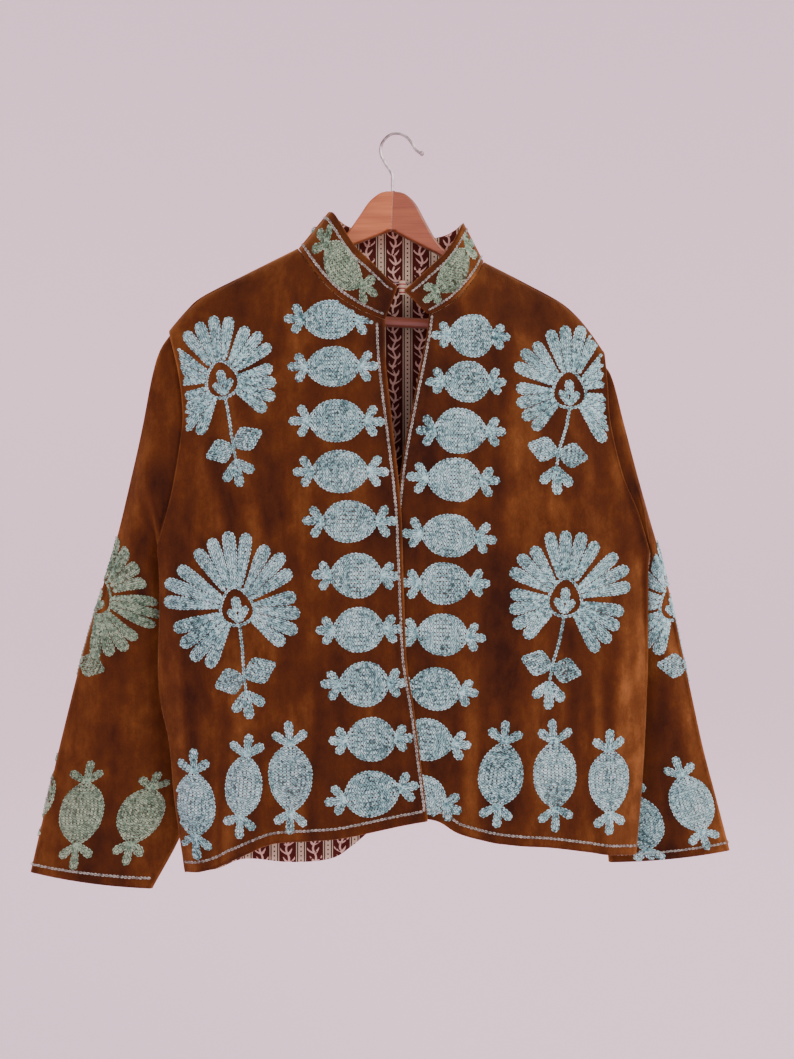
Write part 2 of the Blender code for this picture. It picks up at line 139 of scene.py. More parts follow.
# Creases of the sleeves: place along, slant, width, place across, height
SLEEVE_FOLDS = ((0.30, 0.10, 0.05, 0.35, 2.5), (0.46, -0.08, 0.05, 0.6, 2.5),
                (0.62, 0.08, 0.05, 0.4, 2.0))

# Collar: place round the neck, then how far its top edge leans from the seam, x, z and y
COLLAR = (
    (0.00, 13, 34, 3), (0.10, 18, 45, 3), (0.20, 24, 47, 4), (0.30, 30, 47, 3), (0.37, 32, 39, 0),
    (0.43, 26, 43, -3), (0.51, 0, 54, -3), (0.59, -22, 45, -3), (0.65, -21, 41, 0),
    (0.72, -20, 43, 3), (0.81, -18, 42, 4), (0.91, -21, 37, 3), (1.00, -25, 26, 3),
)
COLLAR_SIDES = (0.37, 0.65)
COLLAR_SEAM_ROOM = 1.7
COLLAR_EASE = 0.03      # share of its length over which the collar turns at the shoulders
UNDERARM = 0.40
FRONT_NECK_SHARE = 0.42
BACK_SHOULDER_SHARE = 0.30
LINING_TOP_NECK = 0.006
LINING_TOP_SHOULDER = 0.05
LINING_SIDE = 0.08
LINING_NECK = (0.215, 0.18)


def clamp(value, low=0.0, high=1.0):
    return max(low, min(high, value))


def smoothstep(start, end, value):
    f = clamp((value - start) / (end - start))
    return f * f * (3 - 2 * f)


def straight(table, at):
    """A row's values at a place in its first column, joined by straight lines."""
    if at <= table[0][0]:
        return table[0][1:]
    for low, high in zip(table, table[1:]):
        if at <= high[0]:
            f = (at - low[0]) / (high[0] - low[0])
            return tuple(a + (b - a) * f for a, b in zip(low[1:], high[1:]))
    return table[-1][1:]


def catmull(p0, p1, p2, p3, f):
    """Smooth value between p1 and p2."""
    return tuple(0.5 * (2 * b + (c - a) * f + (2 * a - 5 * b + 4 * c - d) * f * f
                        + (3 * b - 3 * c + d - a) * f ** 3) for a, b, c, d in zip(p0, p1, p2, p3))


def along(points, f):
    """Point at a share f of the length of a smooth line through the points."""
    lengths = [0.0]
    for a, b in zip(points, points[1:]):
        lengths.append(lengths[-1] + math.dist(a, b))
    target = clamp(f) * lengths[-1]
    k = 0
    while k < len(points) - 2 and lengths[k + 1] < target:
        k += 1
    local = (target - lengths[k]) / (lengths[k + 1] - lengths[k])
    first = points[max(k - 1, 0)]
    last = points[min(k + 2, len(points) - 1)]
    return catmull(first, points[k], points[k + 1], last, local)


def smooth_row(table, at):
    """A row's values at a place in its first column, joined by smooth lines."""
    k = 0
    while k < len(table) - 2 and table[k + 1][0] < at:
        k += 1
    f = clamp((at - table[k][0]) / (table[k + 1][0] - table[k][0]))
    first = table[max(k - 1, 0)][1:]
    last = table[min(k + 2, len(table) - 1)][1:]
    return catmull(first, table[k][1:], table[k + 1][1:], last, f)


def joined(parts, breaks, f):
    """Point on an outline made of parts that meet at corners, with each corner's share."""
    for part, low, high in zip(parts, breaks, breaks[1:]):
        if f <= high:
            return along(part, (f - low) / (high - low))
    return parts[-1][-1]


def drop_below_shoulder(x, z):
    return max(straight(SHOULDER, x)[0] - z, 0.0)


def shoulder_lean(x):
    """Cosine of the shoulder line's slope, which turns a drop into a distance from it."""
    rise = straight(SHOULDER, x + SLOPE_STEP)[0] - straight(SHOULDER, x - SLOPE_STEP)[0]
    return 1 / math.hypot(1, rise / (2 * SLOPE_STEP))


def across(x, z):
    """Place across the body, -1 and 1 at its sides; its middle leans with the hanger."""
    middle, lean = BODY_MIDDLE
    return clamp((x - middle - lean * z) / straight(HALF_WIDTH, z)[0], -1, 1)


def fold_height(folds, x, z):
    """Sum of the soft ridges at a point."""
    total = 0.0
    for top_x, top_z, bottom_x, bottom_z, half_width, height in folds:
        f = (z - top_z) / (bottom_z - top_z)
        line = top_x + (bottom_x - top_x) * f
        fade = smoothstep(-0.12, 0.22, f) * (1 - smoothstep(0.78, 1.12, f) * (bottom_z > FOLD_TO_HEM))
        total += height * fade * math.exp(-((x - line) / half_width) ** 2)
    return total


# Creases of the dressed cloth, in the same columns as the folds
FRONT_CREASES = (
    (-228, -392, -196, -440, 7, 2.2), (-236, -430, -214, -520, 6, 2.0),
    (-196, -612, -204, -720, 6, 1.8), (-176, -640, -180, -752, 5, -1.6),
    (-118, -150, -96, -240, 9, 1.6), (-140, -420, -120, -560, 9, 1.8),
    (-84, -560, -96, -716, 7, 1.5), (-214, -520, -188, -600, 5, -1.5), (92, -150, 76, -236, 9, 1.6),
    (214, -300, 232, -420, 7, 2.0), (236, -420, 214, -520, 7, 2.0), (196, -560, 204, -700, 7, 1.8),
    (88, -560, 94, -716, 8, 1.6), (168, -520, 172, -640, 6, -1.5), (60, -250, 54, -400, 7, 1.2),
)
BACK_CREASES = (
    (-210, -300, -180, -430, 9, 2.4), (-60, -180, -70, -330, 10, 2.0),
    (20, -200, 34, -360, 9, -1.8), (200, -330, 176, -450, 9, 2.4), (-190, -560, -180, -720, 8, 2.0),
    (110, -600, 118, -728, 9, 2.0), (210, -500, 214, -700, 8, -1.8), (-40, -600, -46, -730, 9, 1.8),
)
RIPPLE = 0.7           # small unevenness of the cloth
RIPPLE_SCALE = 0.022


def body_depth(x, z, swell, folds, creases, seed):
    """Distance of the cloth from the hanger's middle plane."""
    drop = drop_below_shoulder(x, z)
    place = across(x, z)
    stand_off = ARM_STAND_OFF * (1 - math.exp(-drop * shoulder_lean(x) / ARM_ROLL))
    side = smoothstep(PINCH_TOP, PINCH_BOTTOM, z) * abs(place) ** SIDE_POWER
    stand_off *= 1 - side
    bulge = swell * (1 - place ** 2) * SWELL_GAIN * drop / (drop + SWELL_REACH)
    soft = (1 - abs(place) ** SOFT_POWER) * smoothstep(*SOFT_DROP, drop)
    ridge = fold_height(folds, x, z) * soft
    small = fold_height(creases, x, z) * soft
    small += RIPPLE * noise.noise((x * RIPPLE_SCALE, z * RIPPLE_SCALE * 0.6, seed)) * soft
    return max(stand_off + bulge + ridge + small, CLOTH / 2 + SEAM_GAP)


def front_y(x, z):
    return -body_depth(x, z, FRONT_SWELL, FRONT_FOLDS, FRONT_CREASES, 1.7)


def back_y(x, z):
    return body_depth(x, z, BACK_SWELL, BACK_FOLDS, BACK_CREASES, 8.3)


def overlap_y(x, z):
    """The overlapping front lies on the other one near the middle."""
    return front_y(x, z) - OVERLAP_LIFT * smoothstep(-120, -60, x) * smoothstep(-240, -330, z)


def patch(top, bottom, left, right, u, v):
    """Point of the flat outline: a blend of its four sides, each a function of its share."""
    t, b, l, r = top(u), bottom(u), left(v), right(v)
    c00, c10, c01, c11 = top(0), top(1), bottom(0), bottom(1)
    return tuple((1 - v) * t[k] + v * b[k] + (1 - u) * l[k] + u * r[k]
                 - (1 - u) * (1 - v) * c00[k] - u * (1 - v) * c10[k]
                 - (1 - u) * v * c01[k] - u * v * c11[k] for k in (0, 1))


PANELS = {
    "front_right": dict(
        top=lambda u: joined((NECK_LEFT, SHOULDER_LEFT), (0, FRONT_NECK_SHARE, 1), u),
        bottom=lambda u: along(HEM_LEFT, u),
        left=lambda v: along(EDGE_LEFT, v),
        right=lambda v: joined((ARMHOLE_LEFT, SIDE_LEFT), (0, UNDERARM, 1), v),
        depth=overlap_y),
    "front_left": dict(
        top=lambda u: joined((NECK_RIGHT, SHOULDER_RIGHT), (0, FRONT_NECK_SHARE, 1), u),
        bottom=lambda u: along(HEM_RIGHT, u),
        left=lambda v: along(EDGE_RIGHT, v),
        right=lambda v: joined((ARMHOLE_RIGHT, SIDE_RIGHT), (0, UNDERARM, 1), v),
        depth=front_y),
    "back": dict(
        top=lambda u: joined((SHOULDER_LEFT[::-1], NECK_BACK, SHOULDER_RIGHT),
                             (0, BACK_SHOULDER_SHARE, 1 - BACK_SHOULDER_SHARE, 1), u),
        bottom=lambda u: along(HEM_BACK, u),
        left=lambda v: joined((ARMHOLE_LEFT, SIDE_LEFT), (0, UNDERARM, 1), v),
        right=lambda v: joined((ARMHOLE_RIGHT, SIDE_RIGHT), (0, UNDERARM, 1), v),
        depth=back_y),
}


def panel_point(name, u, v):
    """Point in the middle of a body panel's wall."""
    sides = PANELS[name]
    x, z = patch(sides["top"], sides["bottom"], sides["left"], sides["right"], u, v)
    return x, sides["depth"](x, z), z


def ring_offset(angle, half_chord, half_depth, radius):
    """Flattened ring with rolled folds: place along its chord, and depth."""
    c, s = math.cos(angle), math.sin(angle)
    straight_half = half_chord - radius
    reach = abs(c) * RING_END_REACH
    if reach > 1:
        end = (reach - 1) / (RING_END_REACH - 1)
        return (math.copysign(straight_half + radius * end, c),
                math.copysign(radius * math.sqrt(1 - end * end), s))
    swell = (half_depth - radius) * (1 - reach ** 2)
    return math.copysign(straight_half * reach, c), math.copysign(radius + swell, s)


def sleeve_point(table, t, angle, grow=0.0):
    """Point of a sleeve's wall, grow outside its middle; angle 0 is the outer fold."""
    outer_x, outer_z, inner_x, inner_z, outer_y, inner_y, half_depth, bow = smooth_row(table, t)
    chord = math.hypot(inner_x - outer_x, inner_z - outer_z)
    dir_x, dir_z = (outer_x - inner_x) / chord, (outer_z - inner_z) / chord
    place, depth = ring_offset(angle, chord / 2 + grow, half_depth + grow, SLEEVE_FOLD_RADIUS + grow)
    share = clamp(place / (chord / 2), -1, 1)
    middle_y = inner_y + (outer_y - inner_y) * (share + 1) / 2
    bowed = bow * (1 - share ** 2) * (1 if outer_x < 0 else -1)
    ridge = 0.0
    for at, slant, width, where, height in SLEEVE_FOLDS:
        away = (t - at - slant * (share - where)) / width
        ridge += height * math.exp(-away ** 2) * (1 - share ** 2)
    x = (outer_x + inner_x) / 2 + dir_x * place + bowed * abs(dir_z)
    z = (outer_z + inner_z) / 2 + dir_z * place
    return x, middle_y + depth + math.copysign(ridge, depth), z


def collar_point(w, rise):
    """Point in the middle of the collar's wall: w round the neck, rise from seam to top."""
    near, far = COLLAR_SIDES
    seam_x, seam_z = joined((NECK_LEFT, NECK_BACK, NECK_RIGHT[::-1]), (0, near, far, 1), w)
    seam_y = back_y(seam_x, seam_z) if near < w < far else front_y(seam_x, seam_z)
    seam_y *= clamp(min(abs(w - near), abs(w - far)) / COLLAR_EASE)
    lean_x, lean_z, lean_y = smooth_row(COLLAR, w)
    start = COLLAR_SEAM_ROOM / math.hypot(lean_x, lean_z)
    f = start + (1 - start) * rise
    return seam_x + lean_x * f, seam_y + lean_y * f, seam_z + lean_z * f


def span(count):
    return [k / (count - 1) for k in range(count)]


# ---- Materials ---------------------------------------------------------------------------

def rgb(red, green, blue):
    """A colour given as 0 to 255, as the shader wants it."""
    shares = (((c / 255 + 0.055) / 1.055) ** 2.4 if c > 10 else c / 3295 for c in (red, green, blue))
    return (*shares, 1)


class Nodes:
    """Short names for a material's nodes."""

    def __init__(self, name, roughness=0.8, metallic=0.0):
        self.material = bpy.data.materials.new(name)
        self.material.use_nodes = True
        self.tree = self.material.node_tree
        self.shader = self.tree.nodes["Principled BSDF"]
        self.shader.inputs["Roughness"].default_value = roughness
        self.shader.inputs["Metallic"].default_value = metallic
        where = self.tree.nodes.new("ShaderNodeTexCoord")
        self.place, self.normal = where.outputs["Object"], where.outputs["Normal"]

    def new(self, kind, inputs=(), **settings):
        node = self.tree.nodes.new(kind)
        for key, value in settings.items():
            setattr(node, key, value)
        for key, value in dict(inputs).items():
            self.put(node, key, value)
        return node

    def put(self, node, key, value):
        if isinstance(value, bpy.types.NodeSocket):
            self.tree.links.new(value, node.inputs[key])
        else:
            node.inputs[key].default_value = value

    def math(self, operation, a, b=0.0, c=0.0):
        return self.new("ShaderNodeMath", {0: a, 1: b, 2: c}, operation=operation).outputs[0]

    def total(self, start, *parts):
        """A sum of values, each with its share."""
        for value, share in parts:
            start = self.math("MULTIPLY_ADD", value, share, start)
        return start

    def scaled(self, scale, turn=(0, 0, 0)):
        node = self.new("ShaderNodeMapping", {"Vector": self.place, "Scale": scale, "Rotation": turn})
        return node.outputs["Vector"]

    def millimetres(self):
        return self.new("ShaderNodeSeparateXYZ", {0: self.scaled((1000, 1000, 1000))}).outputs

    def noise(self, scale, detail=2.0, rough=0.5, vector=None):
        return self.new("ShaderNodeTexNoise", {"Vector": vector or self.place, "Scale": scale,
                                               "Detail": detail, "Roughness": rough}).outputs["Fac"]

    def ramp(self, value, stops):
        """Colours at places from 0 to 1."""
        node = self.new("ShaderNodeValToRGB", {0: value})
        ramp = node.color_ramp
        while len(ramp.elements) < len(stops):
            ramp.elements.new(0.5)
        for element, (at, colour) in zip(ramp.elements, stops):
            element.position = at
            element.color = colour
        return node.outputs["Color"]

    def mix(self, share, a, b, blend="MIX"):
        node = self.new("ShaderNodeMix", {"Factor": share}, data_type="RGBA", blend_type=blend)
        self.put(node, 6, a)
        self.put(node, 7, b)
        return node.outputs[2]

    def bump(self, *layers):
        """Bump layers as (height, strength, distance in metres), each over the last."""
        normal = None
        for height, strength, distance in layers:
            inputs = {"Height": height, "Strength": strength, "Distance": distance}
            if normal:
                inputs["Normal"] = normal
            normal = self.new("ShaderNodeBump", inputs).outputs["Normal"]
        self.put(self.shader, "Normal", normal)

    def colour(self, value):
        self.put(self.shader, "Base Color", value)

    def sheen(self, weight, roughness, tint):
        self.shader.inputs["Sheen Weight"].default_value = weight
        self.shader.inputs["Sheen Roughness"].default_value = roughness
        self.shader.inputs["Sheen Tint"].default_value = tint


def velvet_material():
    """Cotton velvet: its pile lies in streaks and patches; a painted highlight makes the slopes of
    folds golden, and painted shade darkens the left side.
    """
    n = Nodes("velvet", roughness=0.82)
    broad = n.noise(5.5, 3, 0.55, n.scaled((1, 1, 0.45)))
    streaks = n.noise(19, 4, 0.6, n.scaled((1, 1, 0.16)))
    bruise = n.noise(34, 5, 0.68, n.scaled((1, 1, 0.7), (0, 0.5, 0)))
    # Painted highlight: the more the surface tilts sideways, by its normal's x, up to 0.5, the lighter
    # and more golden its colour.
    lean = n.new("ShaderNodeSeparateXYZ", {0: n.normal}).outputs[0]
    # Painted shade and light: the colour grows darker towards -x and lighter towards +x, as if lit from
    # the right.
    across = n.new("ShaderNodeSeparateXYZ", {0: n.place}).outputs[0]
    slope = n.math("MINIMUM", n.math("ABSOLUTE", lean), 0.5)
    value = n.total(0.06, (broad, 0.12), (streaks, 0.34), (slope, 0.22), (bruise, 0.30), (across, 0.04))
    # The golden top stop is reached mostly where the painted highlight adds to the random pile tone.
    colour = n.ramp(value, ((0.38, rgb(48, 21, 5)), (0.485, rgb(80, 43, 12)), (0.56, rgb(106, 67, 27)),
                            (0.66, rgb(156, 108, 56))))
    pile = n.noise(900, 2, 0.6, n.scaled((1, 1, 0.5)))
    fleck = n.ramp(pile, ((0.3, rgb(60, 36, 24)), (0.7, rgb(186, 134, 94))))
    n.colour(n.mix(0.3, colour, fleck, "OVERLAY"))
    wale = n.new("ShaderNodeTexWave", {"Vector": n.place, "Scale": 160, "Distortion": 1.5, "Detail": 2},
                 bands_direction="X").outputs["Fac"]
    n.bump((broad, 0.3, 0.012), (streaks, 0.5, 0.005), (bruise, 0.6, 0.0035), (wale, 0.12, 0.0004),
           (pile, 0.35, 0.0004))
    n.sheen(0.62, 0.32, rgb(222, 166, 104))
    n.shader.inputs["Specular IOR Level"].default_value = 0.12
    return n.material


PRINT_REPEAT = 28.0     # from one vine stripe to the next, in millimetres
VINE_PITCH = 9.0        # from one pair of branches to the next
DOT_PITCH = 4.7


def print_material():
    """Block print: upright vines with paired branches on maroon, between dotted borders."""
    n = Nodes("print", roughness=0.9)
    x, _, z = n.millimetres()
    half = PRINT_REPEAT / 2
    u = n.math("WRAP", n.math("ADD", x, 6.0), half, -half)
    far = n.math("ABSOLUTE", u)
    beside_stem = n.math("ADD", u, n.math("MULTIPLY", n.math("SINE", n.math("MULTIPLY", z, 0.31)), 1.6))
    off_stem = n.math("ABSOLUTE", beside_stem)
    stem = n.math("LESS_THAN", off_stem, 1.0)
    curl = n.math("MULTIPLY", n.math("MULTIPLY", beside_stem, beside_stem), 0.13)
    up = n.math("WRAP", z, VINE_PITCH / 2, -VINE_PITCH / 2)
    rise = n.math("SUBTRACT", up, n.math("SUBTRACT", curl, 2.6))
    branch = n.math("MULTIPLY", n.math("LESS_THAN", n.math("ABSOLUTE", rise), 1.15),
                    n.math("LESS_THAN", off_stem, 6.2))
    worn = n.noise(240, 3, 0.6)
    vines = n.math("MULTIPLY", n.math("MAXIMUM", stem, branch), n.math("GREATER_THAN", worn, 0.38))
    cloth = n.mix(vines, rgb(72, 26, 19), rgb(212, 180, 162))
    from_middle = n.math("SUBTRACT", half, far)
    dot_z = n.math("WRAP", z, DOT_PITCH / 2, -DOT_PITCH / 2)
    dot = n.math("LESS_THAN", n.math("ADD", n.math("MULTIPLY", from_middle, from_middle),
                                     n.math("MULTIPLY", dot_z, dot_z)), 0.75)
    line = n.math("COMPARE", from_middle, 3.5, 0.6)
    border = n.math("LESS_THAN", from_middle, 5.1)
    stripe = n.mix(n.math("MAXIMUM", dot, line), rgb(198, 184, 156), rgb(30, 22, 18))
    n.colour(n.mix(border, cloth, stripe))
    n.bump((n.noise(1400, 2, 0.5), 0.3, 0.0003))
    n.shader.inputs["Specular IOR Level"].default_value = 0.2
    return n.material


def tape_material():
    """Woven tape with stripes across it."""
    n = Nodes("tape", roughness=0.85)
    z = n.millimetres()[2]
    stripe = n.math("PINGPONG", n.math("ADD", z, 400.0), 2.1)
    n.colour(n.ramp(n.math("DIVIDE", stripe, 2.1), ((0.2, rgb(96, 34, 28)), (0.45, rgb(206, 150, 130)),
                                                    (0.75, rgb(150, 156, 128)))))
    return n.material


def thread_material(name, dark, mid, light):
    """Cotton thread: light and dark flecks the size of a strand, partly the thread's own uneven tone
    and partly painted shade and highlight of strands, and a slow drift of dye.
    """
    n = Nodes(name, roughness=0.75)
    # Painted shade and highlight, in part: per-cell and fine flecks darken and lighten strands at
    # random, standing in for strands in shade and in light.
    cell_tone_and_shade = n.new("ShaderNodeTexVoronoi", {"Vector": n.place, "Scale": 420}).outputs["Color"]
    flecks = n.noise(760, 2, 0.7)
    drift = n.noise(24, 2, 0.5)
    value = n.total(0.0, (drift, 0.26), (cell_tone_and_shade, 0.36), (flecks, 0.42))
    n.colour(n.ramp(value, ((0.36, dark), (0.50, mid), (0.66, light))))
    n.bump((n.noise(1500, 2, 0.6), 0.5, 0.0003))
    n.sheen(0.2, 0.5, rgb(225, 235, 235))
    n.shader.inputs["Specular IOR Level"].default_value = 0.25
    return n.material


def wood_material(name, dark, light, lean):
    """Lacquered pale wood with its grain along the arm."""
    n = Nodes(name, roughness=0.34)
    grain = n.noise(38, 5, 0.62, n.scaled((0.2, 1, 2.4), (0, lean, 0)))
    pores = n.noise(160, 3, 0.7, n.scaled((0.1, 1, 3.2), (0, lean, 0)))
    value = n.total(0.0, (grain, 0.65), (pores, 0.35))
    n.colour(n.ramp(value, ((0.36, dark), (0.62, light))))
    n.bump((pores, 0.15, 0.0005))
    n.shader.inputs["Coat Weight"].default_value = 0.4
    n.shader.inputs["Coat Roughness"].default_value = 0.25
    return n.material


def steel_material():
    n = Nodes("wire", roughness=0.28, metallic=1.0)
    worn = n.noise(240, 4, 0.6)
    n.colour(n.ramp(worn, ((0.3, rgb(120, 116, 112)), (0.7, rgb(196, 192, 188)))))
    n.put(n.shader, "Roughness", n.math("MULTIPLY_ADD", worn, 0.25, 0.18))
    return n.material


VELVET = velvet_material()
PRINT = print_material()
# Each thread's dark colour is partly painted shade of strands, its light colour partly painted
# highlight.
BLUE = thread_material("thread_blue", rgb(50, 94, 96), rgb(144, 202, 201), rgb(208, 248, 246))
GREEN = thread_material("thread_green", rgb(52, 82, 62), rgb(122, 160, 132), rgb(180, 208, 176))
EDGING = thread_material("thread_edging", rgb(92, 92, 84), rgb(158, 164, 152), rgb(204, 208, 194))


# ---- Cloth ----------------------------------------------------------------------------------

def add_object(name, mesh, materials, smooth=True):
    """An object of this mesh; smooth is one value for all its faces, or a list of theirs."""
    for material in materials:
        mesh.materials.append(material)
    flags = smooth if isinstance(smooth, list) else [smooth] * len(mesh.polygons)
    mesh.polygons.foreach_set("use_smooth", flags)
    obj = bpy.data.objects.new(name, mesh)
    bpy.context.scene.collection.objects.link(obj)
    return obj


def flat_mesh(name, verts, faces, materials, indices):
    """Shaded object from points in millimetres, with each face's material."""
    mesh = bpy.data.meshes.new(name)
    mesh.from_pydata([tuple(c * MM for c in v) for v in verts], [], faces)
    mesh.polygons.foreach_set("material_index", indices)
    bm = bmesh.new()
    bm.from_mesh(mesh)
    bmesh.ops.recalc_face_normals(bm, faces=bm.faces)
    bm.to_mesh(mesh)
    bm.free()
    obj = add_object(name, mesh, materials)
    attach(obj, "root")
    return obj


def normals_of(grid):
    """Unit normals of a grid of points, as an array."""
    du = np.gradient(grid, axis=1)
    dv = np.gradient(grid, axis=0)
    n = np.cross(du, dv)
    return n / np.linalg.norm(n, axis=2, keepdims=True)


EDGE_ROLL = 0.35        # how far a cut edge rounds out, as a share of the cloth
ROW_CROWDING = 1.3      # crowds a panel's rows toward the shoulder, where it bends most


def wall_faces(rows, columns, around=False):
    """Quads of a wall's outer and inner grid, with the material of each."""
    count = rows * columns
    faces, indices = [], []
    for j in range(rows - 1):
        for i in range(columns if around else columns - 1):
            k = (i + 1) % columns
            a, b, c, d = j * columns + i, j * columns + k, (j + 1) * columns + k, (j + 1) * columns + i
            faces += [(a, b, c, d), (a + count, d + count, c + count, b + count)]
            indices += [0, 1]
    return faces, indices


def open_cloth(name, grid, thickness, toward, materials):
    """Closed wall of cloth with rolled edges; its first material faces toward a direction."""
    grid = np.array(grid)
    normal = normals_of(grid)
    middle = normal[normal.shape[0] // 2, normal.shape[1] // 2]
    if np.dot(middle, toward) < 0:
        normal = -normal
    rows, columns = grid.shape[:2]
    outer = grid + normal * thickness / 2
    inner = grid - normal * thickness / 2
    verts = [tuple(p) for p in outer.reshape(-1, 3)] + [tuple(p) for p in inner.reshape(-1, 3)]
    count = rows * columns
    faces, indices = wall_faces(rows, columns)
    ring = [(0, i) for i in range(columns)] + [(j, columns - 1) for j in range(1, rows)]
    ring += [(rows - 1, i) for i in range(columns - 2, -1, -1)]
    ring += [(j, 0) for j in range(rows - 2, 0, -1)]
    roll = []
    for j, i in ring:
        out = np.zeros(3)
        if j == 0:
            out += grid[0, i] - grid[1, i]
        if j == rows - 1:
            out += grid[-1, i] - grid[-2, i]
        if i == 0:
            out += grid[j, 0] - grid[j, 1]
        if i == columns - 1:
            out += grid[j, -1] - grid[j, -2]
        out /= np.linalg.norm(out)
        roll.append(len(verts))
        verts.append(tuple(grid[j, i] + out * thickness * EDGE_ROLL))
    for k, (j, i) in enumerate(ring):
        m = (k + 1) % len(ring)
        a, b = j * columns + i, ring[m][0] * columns + ring[m][1]
        faces += [(a, roll[k], roll[m], b), (a + count, b + count, roll[m], roll[k])]
        indices += [0, 0]
    return flat_mesh(name, verts, faces, materials, indices)


def tube_cloth(name, table, columns, rows):
    """Sleeve: velvet outside, print inside, its two walls joined at the cuff and at the armhole."""
    angles = [2 * math.pi * (i + 0.5) / columns for i in range(columns)]
    steps = span(rows)
    walls = [[[sleeve_point(table, t, angle, grow) for angle in angles] for t in steps]
             for grow in (CLOTH / 2, -CLOTH / 2)]
    verts = [p for wall in walls for row in wall for p in row]
    count = rows * columns
    faces, indices = wall_faces(rows, columns, around=True)
    for j in (0, rows - 1):
        for i in range(columns):
            k = (i + 1) % columns
            a, b = j * columns + i, j * columns + k
            faces.append((a, b, b + count, a + count))
            indices.append(0)
    return flat_mesh(name, verts, faces, [VELVET, PRINT], indices)


def panel_grid(name, columns, rows):
    return [[panel_point(name, u, v ** ROW_CROWDING) for u in span(columns)] for v in span(rows)]


def lining_grid(columns, rows):
    off = (CLOTH + LINING) / 2 + LINING_GAP
    grid = []
    for v in span(rows):
        row = []
        for u in span(columns):
            u = LINING_SIDE + (1 - 2 * LINING_SIDE) * u
            in_neck = smoothstep(*LINING_NECK, abs(u - 0.5))
            top = LINING_TOP_SHOULDER + (LINING_TOP_NECK - LINING_TOP_SHOULDER) * in_neck
            x, y, z = panel_point("back", u, top + (1 - top) * v ** ROW_CROWDING)
            row.append((x, y - off, z))
        grid.append(row)
    return grid


def make_cloth():
    right = open_cloth("jacket_front_right", panel_grid("front_right", 71, 131), CLOTH, (0, -1, 0),
                       [VELVET, PRINT])
    left = open_cloth("jacket_front_left", panel_grid("front_left", 71, 131), CLOTH, (0, -1, 0),
                      [VELVET, PRINT])
    back = open_cloth("jacket_back", panel_grid("back", 101, 121), CLOTH, (0, 1, 0), [VELVET, PRINT])
    inside = open_cloth("jacket_lining", lining_grid(81, 101), LINING, (0, -1, 0), [PRINT])
    collar = open_cloth("jacket_collar", [[collar_point(w, r) for w in span(141)] for r in span(15)],
                        CLOTH, (0, 1, 0.2), [VELVET, PRINT])
    sleeve_right = tube_cloth("jacket_sleeve_right", SLEEVE_LEFT, 72, 120)
    sleeve_left = tube_cloth("jacket_sleeve_left", SLEEVE_RIGHT, 72, 120)
    pieces = (("front_right", right), ("front_left", left), ("back", back), ("lining_back", inside),
              ("collar", collar), ("sleeve_right", sleeve_right), ("sleeve_left", sleeve_left))
    for node, piece in pieces:
        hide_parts(node)


# Wooden hanger in its own level frame, as (distance from the middle, height)
HANGER_AT = (-7.0, -58.3)
HANGER_TILT = math.radians(3.0)
HANGER_THICK = 11.0
HANGER_TOP = ((0, 0), (12, -2), (24, -12), (34, -28), (47, -48), (60, -60), (90, -73.5), (188, -123))
HANGER_TIP = ((188, -143), (172, -143))
HANGER_UNDER = ((170, -130), (96, -90), (52, -64), (35, -56), (0, -40))
HANGER_ROUND = 2.4
HANGER_JOIN = 0.1         # half of the join between its two halves
HOOK_TIP = (22.6, 0, -18.4)
BALL_RADIUS = 2.6


def hanger_frame(x, z):
    """From the hanger's level frame to the tilted one."""
    c, s = math.cos(HANGER_TILT), math.sin(HANGER_TILT)
    return HANGER_AT[0] + x * c + z * s, HANGER_AT[1] - x * s + z * c


def make_hanger_half(name, side, material):
    """One arm with its half of the dome, its edges rounded except at the join."""
    flat = [along(HANGER_TOP, f) for f in span(60)] + list(HANGER_TIP)
    flat += [along(HANGER_UNDER, f) for f in span(40)]
    bm = bmesh.new()
    outline = [hanger_frame(side * (x + HANGER_JOIN), z) for x, z in flat]
    layers = [[bm.verts.new((x * MM, y * MM, z * MM)) for x, z in outline]
              for y in (-HANGER_THICK / 2, HANGER_THICK / 2)]
    count = len(flat)
    bm.faces.new(layers[0])
    bm.faces.new(layers[1][::-1])
    for k in range(count):
        m = (k + 1) % count
        bm.faces.new((layers[0][m], layers[0][k], layers[1][k], layers[1][m]))
    bmesh.ops.recalc_face_normals(bm, faces=bm.faces)
    rim = [layer[k] for layer in layers for k in (0, count - 1)]
    edges = [e for e in bm.edges if abs(e.verts[0].co.y - e.verts[1].co.y) < 1e-6
             and e.verts[0] not in rim and e.verts[1] not in rim]
    bmesh.ops.bevel(bm, geom=edges, offset=HANGER_ROUND * MM, segments=4, profile=0.5, affect="EDGES")
    mesh = bpy.data.meshes.new(name)
    bm.to_mesh(mesh)
    bm.free()
    obj = add_object(name, mesh, [material], [len(p.vertices) < 5 for p in mesh.polygons])
    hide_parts("hanger")
    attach(obj, "root")


def make_hanger():
    """The wood in two halves; the bar and the hook keep their solids and get finer materials."""
    pale = wood_material("wood_left", rgb(152, 84, 38), rgb(192, 118, 62), -0.5)
    red = wood_material("wood_right", rgb(116, 56, 24), rgb(150, 84, 42), 0.5)
    make_hanger_half("hanger_half_left", -1, pale)
    make_hanger_half("hanger_half_right", 1, red)
    steel = steel_material()
    bar = wood_material("wood_bar", rgb(104, 54, 34), rgb(150, 86, 58), 0.0)
    for name, material in (("hanger_bar", bar), ("hook", steel)):
        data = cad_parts[name].data
        for k in range(len(data.materials)):
            data.materials[k] = material
        data.polygons.foreach_set("use_smooth", [True] * len(data.polygons))
    bpy.ops.mesh.primitive_uv_sphere_add(segments=24, ring_count=16, radius=BALL_RADIUS * MM,
                                         location=[c * MM for c in HOOK_TIP])
    ball = bpy.context.object
    ball.name = "hook_ball"
    ball.data.materials.append(steel)
    ball.data.polygons.foreach_set("use_smooth", [True] * len(ball.data.polygons))
    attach(ball, "root")


